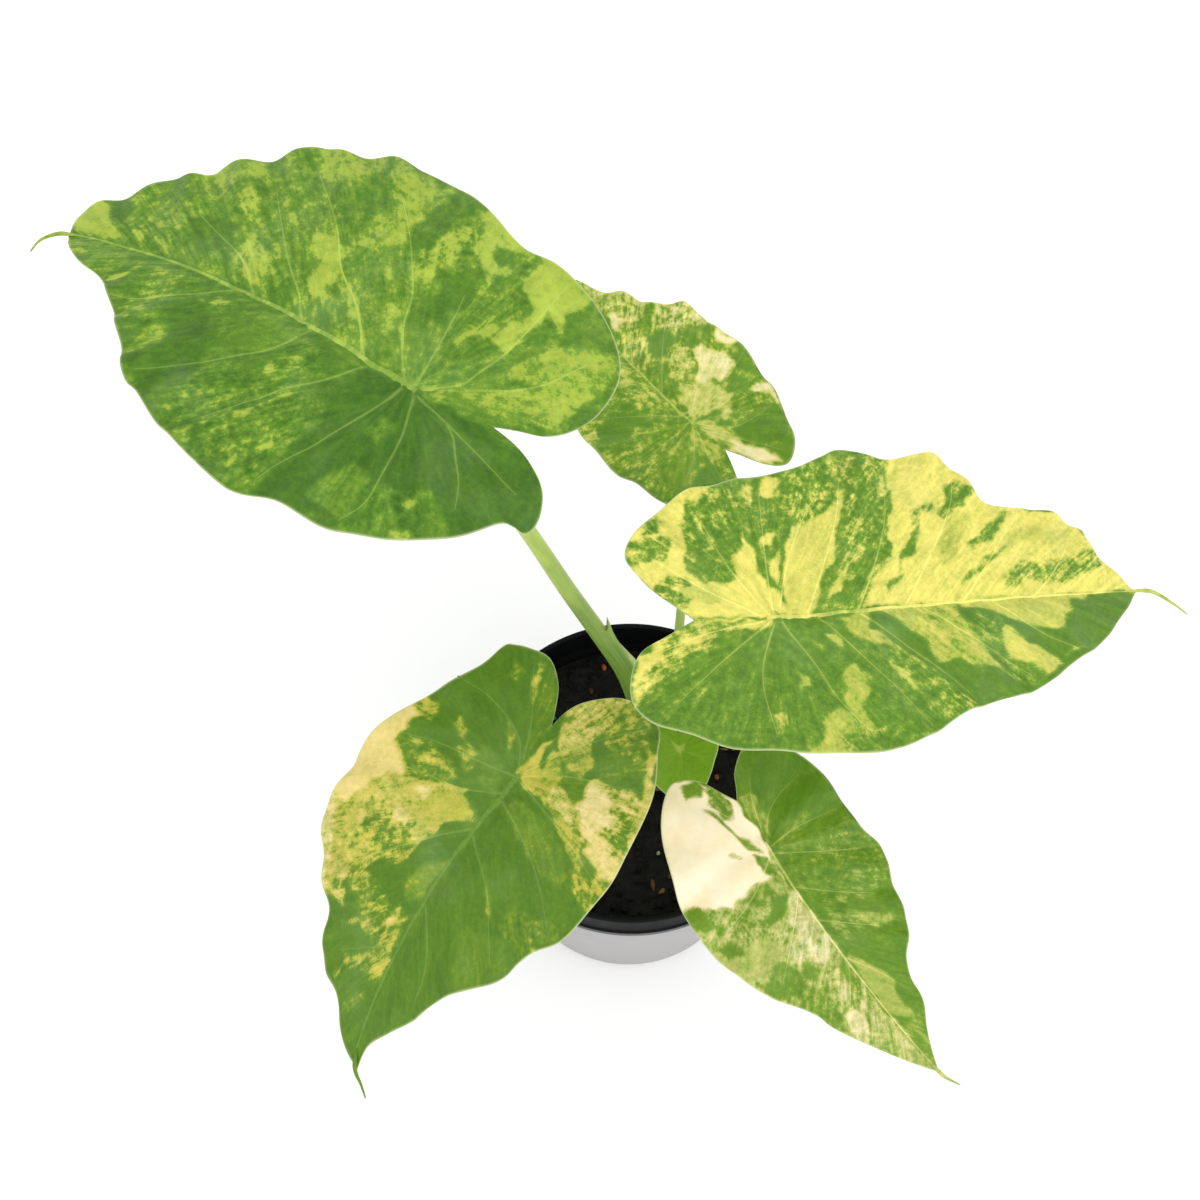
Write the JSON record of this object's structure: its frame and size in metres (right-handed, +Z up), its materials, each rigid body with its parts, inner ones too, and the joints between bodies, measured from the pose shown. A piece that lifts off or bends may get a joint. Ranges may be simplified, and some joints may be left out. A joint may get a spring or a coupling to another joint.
{
  "type": "potted elephant-ear plant",
  "caption": "Variegated elephant-ear house plant with heart-shaped leaves on arching stalks, growing from a short trunk in a round tapered nursery pot.",
  "frame": {"origin": "centre of the pot's underside, on the surface the pot stands on", "axes": "+Z up along the pot's axis; -Y towards the side the plant is seen from"},
  "size_m": [0.4962, 0.3899, 0.4328],
  "materials": {
    "pot_plastic": "satin",
    "potting_mix": "matte",
    "green_stem": "satin",
    "green_leaf": "satin",
    "mottled_leaf": "satin",
    "yellow_leaf": "satin"
  },
  "bodies": {
    "root": {"pot": "pot_plastic", "soil": "potting_mix", "trunk": "green_stem", "stalk_1": "green_stem", "stalk_2": "green_stem", "stalk_3": "green_stem", "stalk_4": "green_stem", "stalk_5": "green_stem", "stalk_6": "green_stem", "leaf_1": "green_leaf", "leaf_2": "mottled_leaf", "leaf_3": "yellow_leaf", "leaf_4": "mottled_leaf", "leaf_5": "mottled_leaf", "leaf_6": "green_leaf"}
  },
  "joints": []
}
